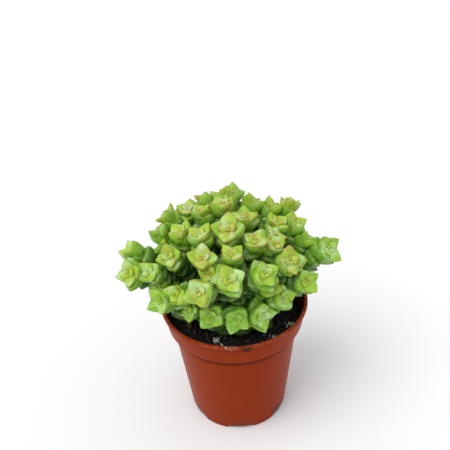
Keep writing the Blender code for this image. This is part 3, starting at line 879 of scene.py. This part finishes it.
def pot_material():
    n = Nodes(bpy.data.materials.new("pot_plastic_detail"))
    n.colour = n.mix(n.noise(90.0, 4.0, 0.6), (0.258, 0.026, 0.0008), (0.292, 0.032, 0.0014))
    streak = n.node("ShaderNodeMapping", Scale=(1.0, 1.0, 0.08), Vector=n.coords)
    flow = n.remap(n.noise(700.0, 3.0, 0.6, streak.outputs["Vector"]), 0.55, 0.75)
    n.paint(n.times(flow, 0.10), (0.42, 0.10, 0.045))
    # dusty film and water marks low on the wall
    height = n.node("ShaderNodeSeparateXYZ", Vector=n.coords).outputs["Z"]
    low = n.remap(height, 0.0, 0.018, 1.0, 0.0)
    dust = n.times(low, n.remap(n.noise(420.0, 5.0, 0.65), 0.5, 0.75))
    n.paint(n.times(dust, 0.25), (0.20, 0.10, 0.06))
    # painted shade: a dark band on the body under the collar, where the ledge's shadow falls, and a dark line
    # just under the lip, where the lip's shadow falls
    ragged = n.times(n.math("SUBTRACT", n.noise(300.0, 3.0), 0.5), 0.0006)
    edge = n.plus(height, ragged)
    ledge = LEDGE_Z * MM
    ledge_shadow = n.band(edge, ledge - 0.0041, ledge - 0.0034, ledge + 0.0001, ledge + 0.0005)
    lip = (POT_HEIGHT - LIP_DEPTH) * MM
    # painted shadow: the dark line just under the lip
    under = n.band(edge, lip - 0.0013, lip - 0.0007, lip + 0.0001, lip + 0.0004)
    painted_shade_bands = n.math("MAXIMUM", n.times(ledge_shadow, 0.60), n.times(under, 0.42))
    n.paint(painted_shade_bands, (0.085, 0.013, 0.002))
    specks = n.remap(n.noise(1300.0, 2.0), 0.50, 0.60)
    # soft spots: the dark marks (painted notch shadow and peat smears), then the perlite dust
    for marks, shade in ((NOTCH_SHADOW_AND_PEAT, (0.018, 0.009, 0.006)), (DUST, (0.50, 0.42, 0.37))):
        for x, y, z, reach in marks:
            away = n.node("ShaderNodeVectorMath")
            away.operation = "DISTANCE"
            n.put(away.inputs[0], n.coords)
            away.inputs[1].default_value = (x * MM, y * MM, z * MM)
            far = n.plus(away.outputs["Value"], n.times(ragged, 2.5))
            spot = n.remap(far, 0.45 * reach * MM, reach * MM, 0.85, 0.0)
            spot = n.times(spot, specks) if marks is DUST else spot
            n.paint(spot, shade)
    # painted highlight: a lighter, noise-broken line along the lip's top edge
    lip_highlight = n.times(n.remap(edge, lip + 0.0005, lip + 0.0011), n.remap(n.noise(650.0, 3.0), 0.40, 0.62))
    n.paint(n.times(lip_highlight, 0.30), (0.36, 0.15, 0.11))
    rough = n.plus(n.times(n.noise(500.0, 4.0, 0.6), 0.16), 0.27)
    rough = n.plus(rough, n.times(dust, 0.2))
    fine = n.bump(n.noise(2600.0, 3.0), 0.12, 0.0001)
    normal = n.bump(n.noise(160.0, 2.0), 0.10, 0.0005, Normal=fine)
    n.surface(Subsurface_Weight=0.06, Subsurface_Radius=(1.0, 0.3, 0.1), Subsurface_Scale=0.0008)
    return n.surface(Base_Color=n.colour, Roughness=rough, Specular_IOR_Level=0.05, Normal=normal)


def soil_material():
    n = Nodes(bpy.data.materials.new("potting_soil_detail"))
    kind = n.value("kind")
    crumbs = n.noise(900.0, 5.0, 0.65)
    n.colour = n.mix(crumbs, (0.0012, 0.0010, 0.0009), (0.0075, 0.0052, 0.0038))
    n.paint(n.remap(n.noise(230.0, 3.0), 0.5, 0.75), (0.005, 0.0036, 0.0026))
    # bark, straws and the twig, which are marked by kind
    straw = n.remap(kind, 0.4, 0.6)
    n.paint(straw, n.mix(n.noise(1400.0, 3.0), (0.05, 0.026, 0.012), (0.12, 0.07, 0.035)))
    wet = n.remap(n.noise(380.0, 3.0), 0.42, 0.62, 0.07, 0.62)
    normal = n.bump(n.noise(2200.0, 6.0, 0.7), 0.9, 0.0007)
    return n.surface(Base_Color=n.colour, Roughness=wet, Specular_IOR_Level=0.55, Normal=normal)


def perlite_material():
    n = Nodes(bpy.data.materials.new("perlite_detail"))
    colour = n.mix(n.noise(1800.0, 4.0), (0.88, 0.88, 0.86), (0.62, 0.61, 0.58))
    normal = n.bump(n.noise(4200.0, 5.0, 0.7), 0.7, 0.0003)
    return n.surface(Base_Color=colour, Roughness=0.75, Normal=normal)


# --- pot ---
TURN_SIDES = 240  # points round the turned pot
HOLE_SIDES = 40
NOTCH_SLOPE = 0.024  # radians over which a notch's side rises


def arc(cx, cz, radius, start, stop, count):
    """Points of a fillet in the (radius, height) plane; angles in degrees."""
    turns = [polar(radius, radians(start + (stop - start) * i / count)) for i in range(count + 1)]
    return [(cx + x, cz + z) for x, z in turns]


def pot_profile():
    """Outside from under the floor up over the lip and down the inside to the floor."""
    top, lip_low = POT_HEIGHT, POT_HEIGHT - LIP_DEPTH
    foot = BASE_RADIUS - FOOT_WIDTH
    lip_root = collar_radius(LIP_DEPTH)
    collar_low = collar_radius(COLLAR_HEIGHT)
    inner_top = inner_radius(top)
    body = [(body_radius(z), z) for z in np.linspace(1.2, LEDGE_Z - 0.9, 12)]
    collar = [(collar_radius(top - z), z) for z in np.linspace(LEDGE_Z + 2.3, lip_low - 0.35, 5)]
    inside = [(inner_radius(z), z) for z in np.linspace(top - 1.0, STEP_TOP + 0.3, 6)]
    well = [(inner_radius(z), z) for z in np.linspace(STEP_LOW - 0.3, FLOOR_TOP + 0.8, 8)]
    return (
        [(4.5, FOOT_HEIGHT), (10.0, FOOT_HEIGHT), (16.0, FOOT_HEIGHT)]
        + [(foot - 0.25, FOOT_HEIGHT), (foot - 0.05, FOOT_HEIGHT - 0.2), (foot, 1.0), (foot, 0.25)]
        + arc(foot + 0.25, 0.25, 0.25, 180, 270, 3)
        + arc(BASE_RADIUS - 0.35, 0.35, 0.35, 270, 360, 4)
        + body
        + [(body_radius(LEDGE_Z - 0.5) - 0.12, LEDGE_Z - 0.5)]
        + [(body_radius(LEDGE_Z) - 0.28, LEDGE_Z - 0.1)]
        + [(BODY_TOP_RADIUS - 0.18, LEDGE_Z + 0.16), (BODY_TOP_RADIUS + 0.5, LEDGE_Z + 0.12)]
        + arc(collar_low - 0.86, LEDGE_Z + 1.0, 1.0, 270, 358, 8)
        + [(collar_radius(COLLAR_HEIGHT - 1.5), LEDGE_Z + 1.5)]
        + collar
        + [(lip_root - 0.06, lip_low - 0.12), (lip_root + 0.05, lip_low + 0.05)]
        + arc(RIM_RADIUS - 0.45, lip_low + 0.5, 0.45, 300, 360, 3)
        + arc(RIM_RADIUS - 0.6, top - 0.6, 0.6, 0, 90, 6)
        + arc(inner_top + 0.35, top - 0.35, 0.35, 90, 180, 4)
        + inside
        + [(inner_radius(STEP_TOP) - 0.05, STEP_TOP), (inner_radius(STEP_LOW) + 0.1, STEP_LOW + 0.15)]
        + well
        + [(inner_radius(FLOOR_TOP) - 0.7, FLOOR_TOP + 0.1)]
        + [(16.0, FLOOR_TOP), (10.0, FLOOR_TOP), (4.5, FLOOR_TOP)]
    )


def build_pot(mat):
    """The turned pot, with air notches pressed into the foot ring and drain holes in the floor."""
    half_notch = asin(NOTCH_WIDTH / 2 / BASE_RADIUS)
    rings = []
    for r, z in pot_profile():
        ring = []
        for i in range(TURN_SIDES):
            a = tau * i / TURN_SIDES - pi / 2
            height = z
            if z < NOTCH_HEIGHT and r > BASE_RADIUS - FOOT_WIDTH - 0.1:
                turn = (a + pi / 2) % (tau / NOTCHES)
                off = min(turn, tau / NOTCHES - turn)
                inside = 1.0 - float(smooth01((off - half_notch + NOTCH_SLOPE / 2) / NOTCH_SLOPE))
                height = z + (NOTCH_HEIGHT - z) * inside
            ring.append((*polar(r, a), height))
        rings.append(ring)
    skin = Skin()
    skin.add(*ring_stack(rings))
    pot = skin.make("pot_moulded", mat, "pot")
    holes = [(0.0, 0.0, CENTRE_HOLE_RADIUS)]
    for k in range(DRAIN_HOLES):
        holes.append((*polar(DRAIN_CIRCLE, tau * (k + 0.5) / DRAIN_HOLES), DRAIN_RADIUS))
    for x, y, radius in holes:
        low, high = circle(radius, FOOT_HEIGHT - 1.0, HOLE_SIDES), circle(radius, FLOOR_TOP + 1.0, HOLE_SIDES)
        verts, faces = ring_stack([shifted(low, x, y, 0.0), shifted(high, x, y, 0.0)])
        tool_mesh = bpy.data.meshes.new("tool")
        tool_mesh.from_pydata([[c * MM for c in v] for v in verts], [], faces)
        tool = add_object("tool", tool_mesh)
        cut = pot.modifiers.new("hole", "BOOLEAN")
        cut.operation = "DIFFERENCE"
        cut.solver = "EXACT"
        cut.object = tool
        with bpy.context.temp_override(object=pot, active_object=pot):
            bpy.ops.object.modifier_apply(modifier=cut.name)
        bpy.data.objects.remove(tool, do_unlink=True)


# --- soil ---
def soil_height(x, y):
    """Smooth height of the peat, with soft lumps (mm)."""
    r = min(1.0, hypot(x, y) / (inner_radius(SOIL_TOP) - FIT_GAP))
    coarse = noise.noise(Vector((x, y, 3.0)) * 0.16) * 0.9 + noise.noise(Vector((x, y, 9.0)) * 0.42) * 0.55
    fine = noise.noise(Vector((x, y, 1.0)) * 1.3) * 0.35 + noise.noise(Vector((x, y, 5.0)) * 3.1) * 0.18
    return SOIL_TOP + SOIL_MOUND * (1.0 - r * r) + coarse + fine


def crumb(rng, size, flat, detail):
    """A rough closed lump, pressed flat by a share: (verts, faces) about the origin, in mm."""
    bm = bmesh.new()
    bmesh.ops.create_icosphere(bm, subdivisions=detail, radius=size / 2)
    seed = Vector((rng.uniform(0, 50), rng.uniform(0, 50), rng.uniform(0, 50)))
    angle = rng.uniform(0, tau)
    turn = Matrix.Rotation(angle, 3, Vector((rng.gauss(0, 1), rng.gauss(0, 1), rng.gauss(0, 1))))
    verts = []
    for v in bm.verts:
        out = v.co.normalized()
        bump = 1.0 + 0.45 * noise.noise(out * 1.7 + seed) + 0.22 * noise.noise(out * 4.0 + seed)
        p = turn @ (v.co * bump)
        verts.append((p.x, p.y, p.z * flat))
    faces = [tuple(v.index for v in f.verts) for f in bm.faces]
    bm.free()
    return verts, faces


def fibre(skin, points, radius):
    """A thin root or straw as a closed tapering tube through points (mm)."""
    rings = []
    pts = [Vector(p) for p in points]
    for k, p in enumerate(pts):
        ahead = pts[min(k + 1, len(pts) - 1)] - pts[max(k - 1, 0)]
        across = ahead.cross(UP)
        across = across.normalized() if across.length > 1e-6 else Vector((1, 0, 0))
        up = across.cross(ahead.normalized())
        r = radius * (1.0 - 0.6 * abs(2.0 * k / (len(pts) - 1) - 1.0) ** 3)
        rings.append(loop(p, across, up, r, 7))
    skin.add(*ring_stack(rings), kind=BARK)


# What the material's kind says a point is: peat, or bark and straw.
PEAT, BARK = 0.0, 1.0
SOIL_POINTS, SOIL_STEPS = 220, 56  # round the top's rings, and rings from the wall to the middle
CRUMBS, CRUMB_SIZES = 900, (0.5, 0.7, 0.9, 1.2, 1.6)
BARK_SHARE = 0.16  # of the crumbs
STRAWS = 46
SMALL_GRAINS = 20  # round each large perlite grain


def build_soil(mat):
    """Peat: a lumpy top on the CAD plug, with crumbs, bark bits and fibres lying on it."""
    rng = random.Random(77)
    skin = Skin("kind")
    edge = inner_radius(SOIL_TOP) - FIT_GAP
    rings = []
    for z in (FLOOR_TOP + FIT_GAP, STEP_LOW, STEP_TOP, SOIL_TOP - 1.0):
        rings.append(circle(inner_radius(z) - FIT_GAP, z, SOIL_POINTS))
    for k in range(SOIL_STEPS):
        r = edge * (1.0 - (k + 0.15) / SOIL_STEPS)
        rings.append([(x, y, soil_height(x, y)) for x, y, _ in circle(r, 0.0, SOIL_POINTS)])
    skin.add(*ring_stack(rings), kind=PEAT)
    for _ in range(CRUMBS):
        r, a = edge * sqrt(rng.random()) * 0.98, rng.uniform(0, tau)
        x, y = polar(r, a)
        size = rng.choice(CRUMB_SIZES) * rng.uniform(0.8, 1.2)
        if r + size / 2 > edge:
            continue
        verts, faces = crumb(rng, size, rng.uniform(0.6, 1.0), 2 if size > 1.0 else 1)
        lift = soil_height(x, y) + size * 0.12
        skin.add(shifted(verts, x, y, lift), faces, kind=BARK if rng.random() < BARK_SHARE else PEAT)
    for _ in range(STRAWS):
        r, a = edge * sqrt(rng.uniform(0.1, 0.86)), rng.uniform(0, tau)
        (x, y), turn = polar(r, a), rng.uniform(0, tau)
        span, curl = rng.uniform(1.5, 5.0), rng.uniform(-0.5, 0.5)
        points = []
        for k in range(9):
            t = k / 8.0 - 0.5
            dx, dy = polar(span * t, turn + curl * t)
            px, py = x + dx, y + dy
            reach = hypot(px, py)
            if reach > edge - 0.4:
                px, py = px * (edge - 0.4) / reach, py * (edge - 0.4) / reach
            points.append((px, py, soil_height(px, py) + 0.22 + 0.35 * (0.25 - t * t)))
        fibre(skin, points, rng.uniform(0.05, 0.11))
    twig = []
    for k, t in enumerate(np.linspace(0, 1, 12)):
        x, y = -13.0 + 2.6 * t, -12.5 - 8.5 * t
        twig.append((x, y, soil_height(x, y) + 0.9 + 1.6 * sin(pi * k / 11)))
    fibre(skin, twig, 0.24)
    skin.make("peat_surface", mat, "soil")


def build_perlite(mat):
    """The three large grains on their CAD places, each with small ones scattered round."""
    rng = random.Random(31)
    for number, (x, y, size) in enumerate(GRAINS, 1):
        skin = Skin()
        verts, faces = crumb(rng, size, 0.85, 3)
        low = min(v[2] for v in verts)
        lift = soil_height(x, y) + 0.05 - low * 0.75
        skin.add(shifted(verts, x, y, lift), faces)
        for _ in range(SMALL_GRAINS):
            far, a = rng.uniform(0.9, 4.4), rng.uniform(0, tau)
            px, py = x + far * cos(a), y + 0.55 * far * sin(a)
            small = size * rng.uniform(0.2, 0.65)
            if hypot(px, py) > inner_radius(SOIL_TOP) - 1.0:
                continue
            verts, faces = crumb(rng, small, 0.9, 2)
            lift = soil_height(px, py) + small * 0.2
            skin.add(shifted(verts, px, py, lift), faces)
        skin.make(f"perlite_grains_{number}", mat, f"perlite_{number}")


# --- studio ---
def build_floor():
    n = Nodes(bpy.data.materials.new("studio_floor"))
    colour = n.mix(n.noise(3.0, 2.0), (0.86, 0.86, 0.865), (0.88, 0.88, 0.885))
    mesh = bpy.data.meshes.new("studio_floor")
    half = 3.0  # metres
    corners = [(-half, -half, 0), (half, -half, 0), (half, half, 0), (-half, half, 0)]
    mesh.from_pydata(corners, [], [(0, 1, 2, 3)])
    mesh.materials.append(n.surface(Base_Color=colour, Roughness=0.9, Specular_IOR_Level=0.1))
    floor = add_object("studio_floor", mesh)


def build_studio():
    scene = bpy.context.scene
    scene.view_settings.view_transform = "Standard"
    n = Nodes(bpy.data.worlds.new("studio"), "Background", "Generated")
    height = n.node("ShaderNodeSeparateXYZ", Vector=n.coords).outputs["Z"]
    dome = n.remap(height, 0.05, 0.85, 0.24, 0.94)
    haze = n.remap(height, 0.10, 0.22, 0.72, 0.0)  # bright low down, where floor meets wall
    scene.world = n.surface(Strength=n.plus(dome, haze), Color=(0.975, 0.99, 1.0, 1.0))
    sun = bpy.data.lights.new("key", "SUN")
    sun.energy = 1.45
    sun.angle = radians(42.0)
    key = add_object("key", sun)
    key.rotation_euler = Vector((-0.42, -0.30, 0.86)).to_track_quat("Z", "Y").to_euler()


def build_camera():
    """The photograph's view: 50 mm on a 36 mm sensor, about 32 degrees down, rolled 3 degrees."""
    data = bpy.data.cameras.new("camera")
    data.lens = 50.0
    data.sensor_width = 36.0
    data.clip_start = 0.01
    camera = add_object("camera", data)
    forward = Vector((-0.0086, 0.8446, -0.5353)).normalized()
    up = Vector((0.0509, 0.5350, 0.8433))
    right = forward.cross(up).normalized()
    up = right.cross(forward)
    place = Vector((0.0, -200.58, 217.43)) * MM
    turn = Matrix((right, up, -forward)).transposed()
    camera.matrix_world = Matrix.Translation(place) @ turn.to_4x4()
    bpy.context.scene.camera = camera


def lay_out_plant():
    """The shoots, each with its stem and the share of every leaf pair that clears its neighbours."""
    verts, faces = soil_plug()
    mesh = bpy.data.meshes.new("plug")
    mesh.from_pydata([Vector(v) * MM for v in verts], [], faces)
    bm = bmesh.new()
    bm.from_mesh(mesh)
    bmesh.ops.recalc_face_normals(bm, faces=bm.faces)
    bm.to_mesh(mesh)
    bm.free()
    ground = surface_finder(mesh)
    bpy.data.meshes.remove(mesh)
    rows = TIPS + back_tips()
    shoots = []
    for number, (x, y, z, length, twist, lean) in enumerate(rows, 1):
        shoots.append(Shoot(f"shoot_{number:02d}", (x, y, z), length, twist, lean))
    plant_roots(shoots, ground)
    grow_leaves(shoots, surface_finder(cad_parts["pot"].data), ground)
    return shoots


def main():
    leaf = leaf_material()
    shoots = lay_out_plant()
    for number, shoot in enumerate(shoots):
        build_shoot(shoot, leaf, number)
    build_pot(pot_material())
    build_soil(soil_material())
    build_perlite(perlite_material())
    build_floor()
    build_studio()
    build_camera()


main()
